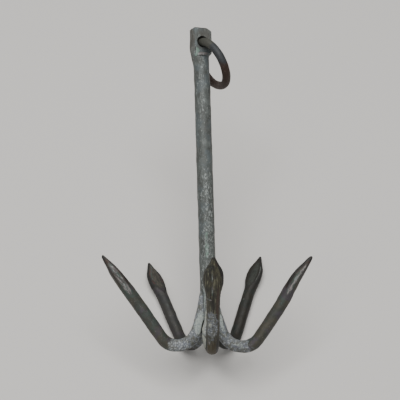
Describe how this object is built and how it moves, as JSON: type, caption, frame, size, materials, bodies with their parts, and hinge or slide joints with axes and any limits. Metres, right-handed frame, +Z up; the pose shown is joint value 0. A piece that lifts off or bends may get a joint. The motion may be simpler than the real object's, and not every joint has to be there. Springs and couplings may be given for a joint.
{
  "type": "grapnel anchor",
  "caption": "Forged grapnel anchor: a round shank with a pierced head and loose ring, and hooked arms that end in pointed flukes.",
  "frame": {"origin": "on the floor, under the middle of the bounding box, with the anchor lying at rest and its ring hanging", "axes": "+Y along the shank's run over the floor, from the crown towards the head, +Z up from the floor"},
  "size_m": [0.2862, 0.4386, 0.2831],
  "materials": {
    "worn_zinc": "forged mild steel, hot-dip zinc weathered to a mottled grey-green with pale mineral crust",
    "bare_iron": "forged mild steel, zinc worn off to dark brown-black scale, pale crust towards the crown",
    "ring_iron": "round steel bar, dark blue-grey scale going brown where it has rubbed"
  },
  "bodies": {
    "anchor": {"shank": "worn_zinc", "front_arm": "bare_iron", "right_arm": "bare_iron", "back_right_arm": "bare_iron", "back_left_arm": "bare_iron", "left_arm": "bare_iron"},
    "ring": {"ring": "ring_iron"}
  },
  "joints": [
    {"name": "ring_swing", "type": "hinge", "parent": "anchor", "child": "ring", "pos_m": [0.00149, 0.19684, 0.26181], "axis": [0.3026, -0.4573, 0.8362], "range_deg": [-13, 314]}
  ]
}
